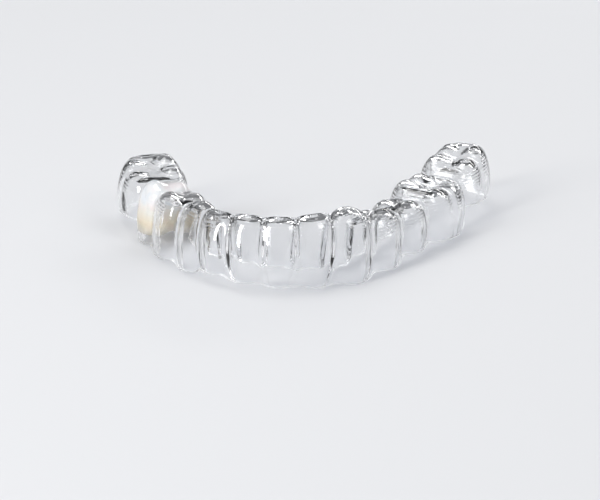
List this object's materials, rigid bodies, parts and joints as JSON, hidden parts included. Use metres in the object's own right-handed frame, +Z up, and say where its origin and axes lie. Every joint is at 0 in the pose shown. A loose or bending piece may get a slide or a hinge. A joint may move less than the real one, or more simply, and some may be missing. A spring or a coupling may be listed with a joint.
{
  "type": "clear dental aligner",
  "caption": "Clear clip-on sheet for the lower teeth, with a crown-shaped well for each tooth, a trimmed edge near the gum and a white filling in the place of a missing tooth.",
  "frame": {"origin": "middle of the bounding box's floor, on the table that the aligner lies on", "axes": "+X towards the longer arm (right as seen from the front, the wearer's left), -Y towards the front teeth, +Z up towards the biting surfaces, with the wells facing down"},
  "size_m": [0.0622, 0.0478, 0.012],
  "materials": {
    "clear_sheet": "clear, wet gloss",
    "tooth_white": "tooth-coloured resin under the sheet"
  },
  "bodies": {
    "root": {"aligner_shell": "clear_sheet", "pontic_filling": "tooth_white"}
  },
  "joints": []
}
